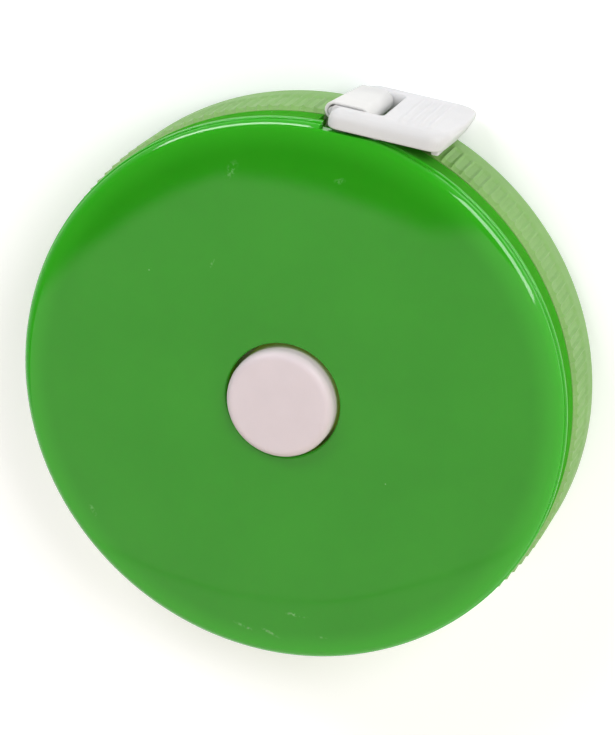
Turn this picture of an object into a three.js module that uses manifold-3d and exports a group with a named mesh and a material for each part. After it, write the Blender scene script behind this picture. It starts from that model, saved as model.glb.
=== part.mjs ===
// Retractable sewing tape in a round case, lengths in millimetres.
// The case lies on its flat back at z = 0, the button points to +Z.
// The mouth and the pull tab are at the top of the rim (+Y), and the tape pulls out along +X.

import * as THREE from 'three';
import { mergeVertices } from 'three/addons/utils/BufferGeometryUtils.js';
import Module from 'manifold-3d';

const wasm = await Module();
wasm.setup();

// Clearances
const runGap = 0.3; // between pieces that turn or slide past each other
const seatGap = 0.15; // between pieces that rest on each other
const cutOverrun = 2; // how far a cutting body runs past the face it opens

// Tape
const tapeLength = 1500;
const tapeWidth = 7;
const tapeThickness = 0.27;
const layerGap = 0.095; // air between two turns of the winding
const anchorBend = 0.4; // bend of the tape where it enters the drum

// Reel and its covers
const drumWall = 2.2;
const flangeThickness = 0.4;
const flangeRim = 0.4; // how far the back flange stands past the winding
const coverThickness = 0.4;
const coverLedge = 0.6; // ledge in the drum that a cover snaps onto
const brakePlateThickness = 0.65;
const webThickness = 0.6;
const washerThickness = 0.3;
const washerWidth = 3;
const keyholeRadius = 0.7; // hole in the drum wall that holds the tape's inner end
const keyholeSlot = 0.6;
const anchorPinRadius = 0.45;

// Power spring, in the chamber below the reel's web
const springRoom = 6.9; // width of the chamber round the post
const powerSpringWidth = 3;
const powerSpringThickness = 0.2;
const powerSpringTurns = 8;
const springHook = 0.7; // length of the hook at either end

// Centre post of the back shell
const postRadius = 3.2;
const postSlot = 0.9;
const postSlotFloor = 2.2; // distance of the slot's floor from the axis
const keyAboveFlange = 1; // how far the key stands above the slider's foot

// Button and brake
const buttonRadius = 4.9;
const buttonTravel = 1.2;
const buttonProud = 1.1; // height of the button above the domed front
const buttonRoof = 0.8;
const buttonWall = 1.1;
const buttonEdge = 0.35; // chamfer of the button's top edge
const holeGap = 0.2; // round the button in its hole
const collarWall = 0.9;
const brakeFlangeRoom = 1.6; // from the slider's flange to the drum
const brakeFlangeThickness = 0.8;
const brakeRingInset = 0.65; // from the lid's collar to the ring
const brakeRingThickness = 0.7;
const springWire = 0.32;
const springCoils = 3.5;

// Case
const sideWall = 1.8;
const lidStep = 0.4; // from the band's surface to the lid's side
const ledgeWidth = 0.5; // from the lid's corner to the edge of the domed front
const ledgeDepth = 0.05; // the narrow ledge lies this much below the edge of the dome
const lidSideHeight = 2.5; // parting line to the lid's corner
const cornerRadius = 0.15;
const domeRise = 1.45;
const domeShoulder = 12.1; // width of the curved part of the domed front
const lidWall = 1.1;
const reelToLid = 0.55;
const tapeToRim = 0.1; // from the tape up to the lid's ceiling at the wall
const floorThickness = 1.2;
const floorCorner = 0.9; // chamfer between the floor and the wall, inside
const backShoulder = 7.2; // width of the back's sloping shoulder
const backCorner = 0.8; // from the shoulder to the band's surface
const backShoulderHeight = 0.95;
const bandFoot = 1.5;
const bandChamferHeight = 0.75;
const tongueThickness = 0.7; // the lid's tongue that fits inside the back shell
const tongueHeight = 0.9;
const knurlDepth = 0.2;
const knurlLengthShare = 0.67; // of the band, from its front edge
const knurlCount = 144;
const bossRadius = 1.5;
const bossPinRadius = 0.7;
const bossInset = 0.7; // from the inside of the wall
const bossFoot = 0.8; // from the pin's end to the floor
const bossTurn = 30; // degrees from +X to the first boss
const bossCount = 3;
const packRoom = 0.81; // free space between the winding and the bosses

// Mouth, at the top of the rim
const seatDepth = 0.9; // flat seat for the tab, below the band's surface
const mouthLeft = 1.75; // from the middle plane of the case to the mouth's left wall
const mouthRight = 1; // and to its lip
const lipRadius = 0.6;
const mouthSideGap = 0.3; // beside the tape

// Pull tab
const tabLength = 10.8; // along the tape, without the loop
const tabLeft = 0.5; // its left end, from the middle plane of the case
const railWidth = 1.5;
const barLeft = 0.8;
const barRight = 2.4;
const slotWidth = 1.5; // from the bar to the slot's far wall
const barThickness = 0.74;
const barSink = 0.25; // the bar's top lies below the tab's top
const tailGap = 0.17; // from the tape that leaves the mouth up to its tail under the bar
const tabEndTaper = 0.35;
const tabEndTaperLength = 2.1;
const tabCorner = 1.2;
const tabEndBulge = 0.5;
const tabEndCorner = 1.7;
const ribInset = 1; // from the slot to the first rib
const ribWidthShare = 0.6; // of the pitch of the ribs
const ribHeight = 0.15;
const ribCount = 4;
const nubLength = 0.7; // finger catch under the far end
const nubDepth = 0.5;
const nubFromEnd = 0.6;
const nubInset = 0.9; // from the tab's sides

// Facets
const roundSteps = 72;
const mediumSteps = 40;
const bendSteps = 10;
const boreSteps = 20;
const tinySteps = 12;
const domeSteps = 3;
const ceilingSteps = 2;
const cornerSteps = 2;
const windingSteps = 20; // per turn
const springSteps = 12; // per coil of the return spring
const wireSides = 6;

// Heights, worked out from the back face upwards
const reelFoot = floorThickness + runGap;
const tapeLow = reelFoot + flangeThickness + seatGap;
const tapeHigh = tapeLow + tapeWidth;
const tapeMiddle = (tapeLow + tapeHigh) / 2;
const washerLow = floorThickness + seatGap;
const coverLow = washerLow + washerThickness + seatGap;
const ledgeLow = coverLow + coverThickness + seatGap;
const webLow = ledgeLow + powerSpringWidth + seatGap;
const webHigh = webLow + webThickness;
const brakeHeight = brakeFlangeThickness + brakeRingThickness + brakePlateThickness + 2 * seatGap;
const reelTop = Math.max(webHigh + runGap + buttonTravel + brakeHeight, tapeHigh);
const brakePlateLow = reelTop - brakePlateThickness;
const ledgeHigh = brakePlateLow - seatGap;
const brakeRingHigh = brakePlateLow - seatGap;
const brakeFlangeHigh = brakeRingHigh - brakeRingThickness - seatGap;
const brakeFlangeLow = brakeFlangeHigh - brakeFlangeThickness;
const keyTop = brakeFlangeLow + keyAboveFlange;
const lidCeiling = Math.max(reelTop + reelToLid, tapeHigh + tapeToRim + domeRise);
const caseTop = lidCeiling + lidWall;
const lidCorner = caseTop - domeRise;
const partingHeight = lidCorner - lidSideHeight;
const bandTop = partingHeight - bandChamferHeight;
const knurlLow = bandTop - (bandTop - bandFoot) * knurlLengthShare;
const tongueLow = partingHeight - tongueHeight;
const buttonTop = caseTop + buttonProud;
const buttonFoot = brakeFlangeHigh + runGap;

// Radii, worked out from the post outwards
const postBore = postRadius + runGap;
const chamberRadius = postBore + springRoom;
const coverRadius = chamberRadius + coverLedge - seatGap;
const drumRadius = chamberRadius + drumWall;
const holeRadius = buttonRadius + holeGap;
const collarRadius = holeRadius + collarWall;
const brakeFlangeRadius = chamberRadius - brakeFlangeRoom;
const sleeveRadius = buttonRadius - buttonWall - runGap;
const sleeveBore = sleeveRadius - buttonWall;
const keyholeCentre = drumRadius - drumWall / 2;

// The square key on the post stops the slider from turning, and its corners pass in the sleeve's bore
const keyHalfWidth = (sleeveBore - runGap) * Math.SQRT1_2;

// The winding: centre lines of its innermost and outermost turns
const layerPitch = tapeThickness + layerGap;
const firstTurn = drumRadius + runGap + tapeThickness / 2;
const lastTurn = Math.sqrt(firstTurn * firstTurn + tapeLength * layerPitch / Math.PI);
const windingTurns = (lastTurn - firstTurn) / layerPitch;
const packRadius = lastTurn + tapeThickness / 2;

// Radii of the case, worked out from the winding outwards
const bossCentre = packRadius + packRoom + bossRadius;
const caseInside = bossCentre + bossRadius + bossInset;
const tongueRadius = caseInside + tongueThickness;
const bandRadius = caseInside + sideWall;
const lidRadius = bandRadius - lidStep;
const faceRadius = lidRadius - ledgeWidth;
const domeFlatRadius = faceRadius - domeShoulder;
const backShoulderRadius = bandRadius - backCorner;
const backFlatRadius = backShoulderRadius - backShoulder;

// The seat and the lip that the tape bends over
const seatHeight = bandRadius - seatDepth;
const lipCentre = new THREE.Vector2(mouthRight + lipRadius, seatHeight - lipRadius);
const lipPath = lipRadius + seatGap + tapeThickness / 2;
const leadTurn = lipCentre.angle() - Math.asin((lastTurn - lipPath) / lipCentre.length());
const leadNormal = leadTurn + Math.PI / 2;
const tapeRunHeight = lipCentre.y + lipPath;

// The axis of the case, seen from the front
const axis = new THREE.Vector2(0, 0);

// Solids

function solidOf(geometry) {
  const bare = geometry.clone();
  bare.deleteAttribute('normal');
  bare.deleteAttribute('uv');
  const merged = mergeVertices(bare);
  const corners = merged.index.array;
  const triangles = [];
  for (let i = 0; i < corners.length; i += 3) {
    const [a, b, c] = corners.slice(i, i + 3);
    if (a !== b && b !== c && c !== a) triangles.push(a, b, c);
  }
  return new wasm.Manifold(new wasm.Mesh({
    numProp: 3,
    vertProperties: new Float32Array(merged.attributes.position.array),
    triVerts: new Uint32Array(triangles),
  }));
}

function geometryOf(solid) {
  const mesh = solid.getMesh();
  const geometry = new THREE.BufferGeometry();
  geometry.setAttribute('position', new THREE.BufferAttribute(mesh.vertProperties, 3));
  geometry.setIndex(new THREE.BufferAttribute(mesh.triVerts, 1));
  geometry.computeVertexNormals();
  return geometry;
}

// A body of revolution about Z; the profile runs round the section as [radius, height]
function turned(profile, steps) {
  const points = profile.map(([radius, height]) => new THREE.Vector2(radius, height));
  points.push(points[0].clone());
  return solidOf(new THREE.LatheGeometry(points, steps).rotateX(Math.PI / 2));
}

function ring(inner, outer, low, high, steps) {
  return turned([[inner, low], [outer, low], [outer, high], [inner, high]], steps);
}

function rod(radius, low, high, x, y, steps) {
  const body = new THREE.CylinderGeometry(radius, radius, high - low, steps).rotateX(Math.PI / 2);
  return solidOf(body.translate(x, y, (low + high) / 2));
}

function block(left, right, front, back, low, high) {
  const body = new THREE.BoxGeometry(right - left, back - front, high - low);
  return solidOf(body.translate((left + right) / 2, (front + back) / 2, (low + high) / 2));
}

function prism(shape, low, high) {
  const options = { depth: high - low, bevelEnabled: false, curveSegments: tinySteps };
  return solidOf(new THREE.ExtrudeGeometry(shape, options).translate(0, 0, low));
}

// A strip of even thickness that follows a line of points in the XY plane
function strip(path, thickness, low, high) {
  const left = [];
  const right = [];
  path.forEach((point, i) => {
    const before = path[Math.max(i - 1, 0)];
    const after = path[Math.min(i + 1, path.length - 1)];
    const along = after.clone().sub(before).normalize();
    const across = new THREE.Vector2(-along.y, along.x).multiplyScalar(thickness / 2);
    left.push(point.clone().add(across));
    right.push(point.clone().sub(across));
  });
  return prism(new THREE.Shape(left.concat(right.reverse())), low, high);
}

function onCircle(centre, radius, turn) {
  return new THREE.Vector2(centre.x + radius * Math.cos(turn), centre.y + radius * Math.sin(turn));
}

function arc(centre, radius, from, to, steps) {
  const points = [];
  for (let i = 0; i <= steps; i += 1) {
    points.push(onCircle(centre, radius, from + (to - from) * i / steps));
  }
  return points;
}

// A spiral about the axis that runs clockwise outwards and ends at the angle lastAngle
function spiral(inner, outer, turns, lastAngle, skipped) {
  const steps = Math.round(turns * windingSteps);
  const points = [];
  for (let i = skipped; i <= steps; i += 1) {
    const turn = lastAngle + (steps - i) / windingSteps * 2 * Math.PI;
    points.push(onCircle(axis, inner + (outer - inner) * i / steps, turn));
  }
  return points;
}

function spiralStart(turns, lastAngle) {
  return lastAngle + Math.round(turns * windingSteps) / windingSteps * 2 * Math.PI;
}

// Materials

function plastic(colour, roughness) {
  return new THREE.MeshStandardMaterial({ color: colour, roughness, metalness: 0 });
}

function springSteel() {
  return new THREE.MeshStandardMaterial({ color: 0xb9bcc0, roughness: 0.32, metalness: 1 });
}

function glossyGreen() {
  return plastic(0x2c9a1f, 0.12);
}

function satinGreen() {
  return plastic(0x55a83a, 0.5);
}

function buttonPlastic() {
  return plastic(0xe0d4d2, 0.45);
}

function whitePlastic() {
  return plastic(0xececec, 0.5);
}

function tapeVinyl() {
  return plastic(0xf2f0e8, 0.55);
}

function brakeRubber() {
  return plastic(0x2b2b2b, 0.9);
}

// Case

function domeHeight(radius, edge, top) {
  const share = Math.max(radius - domeFlatRadius, 0) / (edge - domeFlatRadius);
  return top - domeRise * share * share;
}

function domePoints(edge, top, inner, steps) {
  const points = [];
  for (let i = 0; i <= steps; i += 1) {
    const radius = edge + (domeFlatRadius - edge) * i / steps;
    points.push([radius, domeHeight(radius, edge, top)]);
  }
  points.push([inner, top]);
  return points;
}

function mouthCut() {
  const shape = new THREE.Shape();
  const inside = caseInside - cutOverrun;
  shape.moveTo(-mouthLeft, inside);
  shape.lineTo(mouthRight, inside);
  shape.lineTo(mouthRight, lipCentre.y);
  shape.absarc(lipCentre.x, lipCentre.y, lipRadius, Math.PI, Math.PI / 2, true);
  shape.lineTo(lipCentre.x, seatHeight + cutOverrun);
  shape.lineTo(-mouthLeft, seatHeight + cutOverrun);
  return prism(shape, tapeLow - mouthSideGap, tapeHigh + mouthSideGap);
}

function seatCut() {
  const high = bandRadius + cutOverrun;
  return block(-mouthLeft, high, seatHeight, high, -cutOverrun, caseTop + cutOverrun);
}

function bossPlaces() {
  const places = [];
  for (let i = 0; i < bossCount; i += 1) {
    places.push(onCircle(axis, bossCentre, THREE.MathUtils.degToRad(bossTurn + 360 / bossCount * i)));
  }
  return places;
}

function knurledRing() {
  const shape = new THREE.Shape();
  const groove = bandRadius - knurlDepth;
  for (let i = 0; i < knurlCount * 2; i += 1) {
    const radius = i % 2 === 0 ? bandRadius : groove;
    const point = onCircle(axis, radius, i * Math.PI / knurlCount);
    if (i === 0) shape.moveTo(point.x, point.y);
    else shape.lineTo(point.x, point.y);
  }
  const hole = new THREE.Path();
  hole.absarc(0, 0, groove - knurlDepth, 0, 2 * Math.PI, true);
  shape.holes.push(hole);
  const options = { depth: bandTop - knurlLow, bevelEnabled: false, curveSegments: roundSteps / 2 };
  return solidOf(new THREE.ExtrudeGeometry(shape, options).translate(0, 0, knurlLow));
}

function backShell() {
  const groove = bandRadius - knurlDepth;
  const lipInside = tongueRadius + seatGap;
  let shell = turned([
    [0, 0],
    [backFlatRadius, 0],
    [backShoulderRadius, backShoulderHeight],
    [bandRadius, bandFoot],
    [bandRadius, knurlLow],
    [groove, knurlLow],
    [groove, bandTop],
    [lidRadius, partingHeight - seatGap],
    [lipInside, partingHeight - seatGap],
    [lipInside, tongueLow - seatGap],
    [caseInside, tongueLow - seatGap],
    [caseInside, floorThickness + floorCorner],
    [caseInside - floorCorner, floorThickness],
    [postRadius, floorThickness],
    [postRadius, webHigh],
    [0, webHigh],
  ], roundSteps);
  shell = shell.add(knurledRing());
  const key = block(-keyHalfWidth, keyHalfWidth, -keyHalfWidth, keyHalfWidth, floorThickness, keyTop);
  shell = shell.add(key);
  const slotHigh = webHigh + cutOverrun;
  const slotLow = ledgeLow - seatGap;
  const slotOut = postRadius + runGap;
  shell = shell.subtract(block(postSlotFloor, slotOut, -postSlot / 2, postSlot / 2, slotLow, slotHigh));
  const socket = bossPinRadius + seatGap;
  bossPlaces().forEach(({ x, y }) => {
    shell = shell.add(rod(bossRadius, floorThickness - seatGap, partingHeight - seatGap, x, y, tinySteps));
    shell = shell.subtract(rod(socket, floorThickness, partingHeight, x, y, tinySteps));
  });
  return shell.subtract(seatCut()).subtract(mouthCut());
}

function frontShell() {
  const corner = arc(
    new THREE.Vector2(lidRadius - cornerRadius, lidCorner - ledgeDepth - cornerRadius),
    cornerRadius,
    0,
    Math.PI / 2,
    cornerSteps,
  ).map((point) => [point.x, point.y]);
  const ceiling = domePoints(caseInside, lidCeiling, collarRadius, ceilingSteps).reverse();
  const collarFoot = brakePlateLow - seatGap;
  let shell = turned([
    [caseInside, tongueLow],
    [tongueRadius, tongueLow],
    [tongueRadius, partingHeight],
    [lidRadius, partingHeight],
    ...corner,
    [faceRadius, lidCorner - ledgeDepth],
    ...domePoints(faceRadius, caseTop, holeRadius, domeSteps),
    [holeRadius, collarFoot],
    [collarRadius, collarFoot],
    ...ceiling,
  ], roundSteps);
  const pinLow = floorThickness + bossFoot;
  bossPlaces().forEach(({ x, y }) => {
    const pinHigh = domeHeight(bossCentre, caseInside, lidCeiling) + lidWall / 2;
    shell = shell.add(rod(bossPinRadius, pinLow, pinHigh, x, y, tinySteps));
    shell = shell.add(rod(bossRadius, partingHeight + seatGap, pinHigh, x, y, tinySteps));
  });
  return shell.subtract(seatCut()).subtract(mouthCut());
}

// Button and brake

function buttonCap() {
  return turned([
    [0, buttonTop - buttonRoof],
    [buttonRadius - buttonWall, buttonTop - buttonRoof],
    [buttonRadius - buttonWall, buttonFoot],
    [buttonRadius, buttonFoot],
    [buttonRadius, buttonTop - buttonEdge],
    [buttonRadius - buttonEdge, buttonTop],
    [0, buttonTop],
  ], mediumSteps);
}

function brakeSlider() {
  const sleeveTop = buttonTop - buttonRoof - runGap;
  const keyHole = keyHalfWidth + runGap;
  const keyRoof = brakeFlangeHigh + seatGap;
  const body = turned([
    [0, brakeFlangeLow],
    [brakeFlangeRadius, brakeFlangeLow],
    [brakeFlangeRadius, brakeFlangeHigh],
    [sleeveRadius, brakeFlangeHigh],
    [sleeveRadius, sleeveTop],
    [0, sleeveTop],
  ], mediumSteps);
  const hole = block(-keyHole, keyHole, -keyHole, keyHole, brakeFlangeLow - cutOverrun, keyRoof);
  const bore = rod(sleeveBore, keyRoof - seatGap, sleeveTop + cutOverrun, 0, 0, boreSteps);
  return body.subtract(hole).subtract(bore);
}

function brakeRing() {
  const inner = collarRadius + brakeRingInset;
  const outer = brakeFlangeRadius - seatGap;
  return ring(inner, outer, brakeFlangeHigh + seatGap, brakeRingHigh, mediumSteps);
}

class Helix extends THREE.Curve {
  constructor(radius, low, high, coils) {
    super();
    Object.assign(this, { radius, low, high, coils });
  }

  getPoint(share, target = new THREE.Vector3()) {
    const turn = share * this.coils * 2 * Math.PI;
    const height = this.low + (this.high - this.low) * share;
    return target.set(this.radius * Math.cos(turn), this.radius * Math.sin(turn), height);
  }
}

function returnSpring() {
  const wireRadius = springWire / 2;
  const low = keyTop + seatGap + wireRadius;
  const high = buttonTop - buttonRoof - seatGap - wireRadius;
  const radius = sleeveBore - runGap - wireRadius;
  const outline = arc(axis, wireRadius, 0, 2 * Math.PI, wireSides);
  const section = new THREE.Shape(outline.slice(1));
  return solidOf(new THREE.ExtrudeGeometry(section, {
    steps: Math.round(springCoils * springSteps),
    bevelEnabled: false,
    extrudePath: new Helix(radius, low, high, springCoils),
  }));
}

// Reel

const tapeStartAngle = spiralStart(windingTurns, leadNormal);

function reel() {
  const rebate = chamberRadius + coverLedge;
  let body = turned([
    [rebate, reelFoot],
    [packRadius + flangeRim, reelFoot],
    [packRadius + flangeRim, reelFoot + flangeThickness],
    [drumRadius, reelFoot + flangeThickness],
    [drumRadius, reelTop],
    [rebate, reelTop],
    [rebate, ledgeHigh],
    [chamberRadius, ledgeHigh],
    [chamberRadius, webHigh],
    [postBore, webHigh],
    [postBore, webLow],
    [chamberRadius, webLow],
    [chamberRadius, ledgeLow],
    [rebate, ledgeLow],
  ], roundSteps);
  const hole = onCircle(axis, keyholeCentre, tapeStartAngle);
  const top = reelTop + cutOverrun;
  const foot = reelFoot + flangeThickness;
  body = body.subtract(rod(keyholeRadius, foot, top, hole.x, hole.y, tinySteps));
  const slotGeometry = new THREE.BoxGeometry(drumWall, keyholeSlot, top - foot);
  slotGeometry.translate(keyholeCentre + drumWall / 2, 0, (top + foot) / 2).rotateZ(tapeStartAngle);
  body = body.subtract(solidOf(slotGeometry));
  const notch = springHook + runGap;
  const notchGeometry = new THREE.BoxGeometry(notch * 2, notch * 2, powerSpringWidth + seatGap * 2);
  notchGeometry.translate(chamberRadius, 0, (ledgeLow + webLow) / 2).rotateZ(springEndAngle());
  return body.subtract(solidOf(notchGeometry));
}

function brakePlate() {
  return ring(collarRadius + runGap, coverRadius, brakePlateLow, reelTop, roundSteps / 2);
}

function springCover() {
  return ring(postBore, coverRadius, coverLow, coverLow + coverThickness, roundSteps / 2);
}

function slipWasher() {
  return ring(postBore, postBore + washerWidth, washerLow, washerLow + washerThickness, mediumSteps);
}

// Power spring: the inner hook lies in the post's slot, the outer one in the drum's notch

function springEndAngle() {
  return -powerSpringTurns * 2 * Math.PI;
}

function powerSpring() {
  const half = powerSpringThickness / 2;
  const inner = postRadius + runGap + half;
  const outer = chamberRadius - runGap - half;
  const coils = spiral(inner, outer, powerSpringTurns, springEndAngle(), 1);
  const hookIn = onCircle(axis, inner - springHook, 0);
  const hookBend = onCircle(axis, inner, 0);
  const hookOut = onCircle(axis, outer + springHook, springEndAngle());
  return strip([hookIn, hookBend, ...coils, hookOut], powerSpringThickness, ledgeLow, webLow - seatGap);
}

// Tape

function tapeWinding() {
  const radial = new THREE.Vector2(Math.cos(tapeStartAngle), Math.sin(tapeStartAngle));
  const clockwise = new THREE.Vector2(radial.y, -radial.x);
  const centre = radial.clone().multiplyScalar(firstTurn - anchorBend);
  centre.addScaledVector(clockwise, anchorBend);
  const bend = [];
  for (let i = 0; i <= cornerSteps; i += 1) {
    const turn = Math.PI / 2 * i / cornerSteps;
    const point = centre.clone().addScaledVector(clockwise, -anchorBend * Math.cos(turn));
    bend.push(point.addScaledVector(radial, anchorBend * Math.sin(turn)));
  }
  const end = radial.clone().multiplyScalar(keyholeCentre + anchorPinRadius + seatGap);
  const turns = spiral(firstTurn, lastTurn, windingTurns, leadNormal, 1);
  return strip([end, ...bend, ...turns], tapeThickness, tapeLow, tapeHigh);
}

function tapeAnchorPin() {
  const place = onCircle(axis, keyholeCentre, tapeStartAngle);
  return rod(anchorPinRadius, tapeLow, tapeHigh, place.x, place.y, tinySteps);
}

function tapeLead() {
  const away = new THREE.Vector2(Math.cos(leadTurn), Math.sin(leadTurn)).multiplyScalar(seatGap);
  const start = onCircle(axis, lastTurn, leadNormal).add(away);
  const bend = arc(lipCentre, lipPath, leadNormal, Math.PI / 2, cornerSteps);
  return strip([start, ...bend], tapeThickness, tapeLow, tapeHigh);
}

// Pull tab, with the loop of tape round its bar

const loopOffset = seatGap + tapeThickness / 2;
const railFoot = seatHeight + runGap;
const tailHeight = tapeRunHeight + tapeThickness + tailGap;
const barLow = tailHeight + loopOffset;
const barHigh = barLow + barThickness;
const barMiddle = (barHigh + barLow) / 2;
const tabTop = barHigh + barSink;
const tabLow = tapeLow - mouthSideGap - railWidth;
const tabHigh = tapeHigh + mouthSideGap + railWidth;
const tabEnd = tabLength - tabLeft;
const slotEnd = barRight + slotWidth;
const ribStart = slotEnd + ribInset;
const ribPitch = (tabEnd - tabEndTaperLength - ribStart) / ribCount;
const ribWidth = ribPitch * ribWidthShare;

function tapeEndLoop() {
  const round = barThickness / 2;
  const top = barHigh + loopOffset;
  const rightCentre = new THREE.Vector2(barRight - round, (tapeRunHeight + top) / 2);
  const leftCentre = new THREE.Vector2(-barLeft + round, barMiddle);
  const start = new THREE.Vector2(lipCentre.x + seatGap, tapeRunHeight);
  const tail = new THREE.Vector2(lipCentre.x, tailHeight);
  return strip([
    start,
    ...arc(rightCentre, top - rightCentre.y, -Math.PI / 2, Math.PI / 2, bendSteps),
    ...arc(leftCentre, round + loopOffset, Math.PI / 2, Math.PI * 3 / 2, bendSteps),
    tail,
  ], tapeThickness, tapeLow, tapeHigh);
}

// The tab from its front: flat underside with the nub, ribs on top, a thinner far end
function tabSection() {
  const shape = new THREE.Shape();
  const nubRight = tabEnd - nubFromEnd;
  shape.moveTo(-tabLeft, railFoot);
  shape.lineTo(tabEnd, railFoot);
  shape.lineTo(tabEnd, tabTop - tabEndTaper);
  shape.lineTo(tabEnd - tabEndTaperLength, tabTop);
  for (let i = ribCount - 1; i >= 0; i -= 1) {
    const left = ribStart + ribPitch * i;
    shape.lineTo(left + ribWidth, tabTop);
    shape.lineTo(left + ribWidth / 2, tabTop + ribHeight);
    shape.lineTo(left, tabTop);
  }
  shape.lineTo(-tabLeft, tabTop);
  const nub = block(
    nubRight - nubLength,
    nubRight,
    railFoot - nubDepth,
    railFoot + nubDepth,
    tabLow + nubInset,
    tabHigh - nubInset,
  );
  return prism(shape, tabLow, tabHigh).add(nub);
}

// The tab from above: round corners and a bulged far end, drawn with the tab's width along y
function tabOutline() {
  const half = (tabHigh - tabLow) / 2;
  const shape = new THREE.Shape();
  shape.moveTo(-tabLeft, -half + tabCorner);
  shape.absarc(-tabLeft + tabCorner, -half + tabCorner, tabCorner, Math.PI, Math.PI * 3 / 2, false);
  const cornerX = tabEnd - tabEndBulge - tabEndCorner;
  shape.absarc(cornerX, -half + tabEndCorner, tabEndCorner, -Math.PI / 2, 0, false);
  shape.quadraticCurveTo(tabEnd + tabEndBulge, 0, cornerX + tabEndCorner, half - tabEndCorner);
  shape.absarc(cornerX, half - tabEndCorner, tabEndCorner, 0, Math.PI / 2, false);
  shape.absarc(-tabLeft + tabCorner, half - tabCorner, tabCorner, Math.PI / 2, Math.PI, false);
  const depth = tabTop - railFoot + 2 * cutOverrun;
  const options = { depth, bevelEnabled: false, curveSegments: cornerSteps * 2 };
  const outline = new THREE.ExtrudeGeometry(shape, options).rotateX(Math.PI / 2);
  return solidOf(outline.translate(0, tabTop + cutOverrun, tapeMiddle));
}

function pullTab() {
  const window = block(
    -tabLeft - cutOverrun,
    slotEnd,
    railFoot - cutOverrun,
    tabTop + cutOverrun,
    tapeLow - mouthSideGap,
    tapeHigh + mouthSideGap,
  );
  const round = barThickness / 2;
  const bar = new THREE.Shape();
  bar.absarc(barRight - round, barMiddle, round, -Math.PI / 2, Math.PI / 2, false);
  bar.absarc(-barLeft + round, barMiddle, round, Math.PI / 2, Math.PI * 3 / 2, false);
  const barInRail = railWidth / 2;
  const barSolid = prism(bar, tabLow + barInRail, tabHigh - barInRail);
  return tabSection().intersect(tabOutline()).subtract(window).add(barSolid);
}

// Assembly

const tapeMeasure = new THREE.Group();

function place(name, solid, material) {
  const mesh = new THREE.Mesh(geometryOf(solid), material);
  mesh.name = name;
  tapeMeasure.add(mesh);
}

place('back_shell', backShell(), satinGreen());
place('front_shell', frontShell(), glossyGreen());
place('button_cap', buttonCap(), buttonPlastic());
place('brake_slider', brakeSlider(), whitePlastic());
place('brake_ring', brakeRing(), brakeRubber());
place('return_spring', returnSpring(), springSteel());
place('reel', reel(), whitePlastic());
place('brake_plate', brakePlate(), whitePlastic());
place('spring_cover', springCover(), whitePlastic());
place('slip_washer', slipWasher(), whitePlastic());
place('power_spring', powerSpring(), springSteel());
place('tape_winding', tapeWinding(), tapeVinyl());
place('tape_anchor_pin', tapeAnchorPin(), whitePlastic());
place('tape_lead', tapeLead(), tapeVinyl());
place('tape_end_loop', tapeEndLoop(), tapeVinyl());
place('pull_tab', pullTab(), whitePlastic());

export default tapeMeasure;
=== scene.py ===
# Round push-button sewing tape: the looks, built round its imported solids
# Lengths in the dictionaries are millimetres in the frame of the solids, angles are degrees
import math

import bmesh
import bpy
from mathutils import Matrix, Vector


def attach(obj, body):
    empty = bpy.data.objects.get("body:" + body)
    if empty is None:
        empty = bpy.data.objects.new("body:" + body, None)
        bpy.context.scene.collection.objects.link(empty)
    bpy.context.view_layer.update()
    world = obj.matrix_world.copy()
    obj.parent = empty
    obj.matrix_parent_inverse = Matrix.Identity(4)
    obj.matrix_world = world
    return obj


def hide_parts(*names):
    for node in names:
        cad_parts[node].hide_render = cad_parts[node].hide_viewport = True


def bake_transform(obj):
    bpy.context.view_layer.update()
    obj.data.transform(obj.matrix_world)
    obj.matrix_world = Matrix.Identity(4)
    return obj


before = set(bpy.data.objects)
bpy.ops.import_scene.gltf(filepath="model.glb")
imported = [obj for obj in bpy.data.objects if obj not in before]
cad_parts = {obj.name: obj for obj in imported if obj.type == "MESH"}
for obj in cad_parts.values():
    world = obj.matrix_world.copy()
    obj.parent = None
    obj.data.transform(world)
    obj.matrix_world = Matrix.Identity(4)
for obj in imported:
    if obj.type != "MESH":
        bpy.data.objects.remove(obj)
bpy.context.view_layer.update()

mm = 0.001
fullTurn = 2 * math.pi
# the longest step along a rounded corner
arcStep = math.radians(9)


# Colours and nodes

def hexColour(text):
    # sRGB hex to the linear values that the shaders take
    channels = [int(text[i:i + 2], 16) / 255 for i in (1, 3, 5)]
    return [c / 12.92 if c <= 0.04045 else ((c + 0.055) / 1.055) ** 2.4 for c in channels] + [1]


def perMm(size):
    # texture scale for a feature of this many millimetres
    return 1 / (size * mm)


def addNode(tree, kind, sockets=None, **settings):
    # a socket takes a link from another node or a plain value
    node = tree.nodes.new(kind)
    for name, value in settings.items():
        setattr(node, name, value)
    for socket, value in (sockets or {}).items():
        if isinstance(value, bpy.types.NodeSocket):
            tree.links.new(value, node.inputs[socket])
        else:
            node.inputs[socket].default_value = value
    return node


def addMaterial(name, sockets):
    # the shader with the values that are the same all over, and the place on the piece
    material = bpy.data.materials.new(name)
    material.use_nodes = True
    tree = material.node_tree
    tree.nodes.clear()
    shader = addNode(tree, "ShaderNodeBsdfPrincipled", sockets)
    addNode(tree, "ShaderNodeOutputMaterial", {"Surface": shader.outputs[0]})
    place = addNode(tree, "ShaderNodeTexCoord").outputs["Object"]
    return material, tree, shader, place


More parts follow.
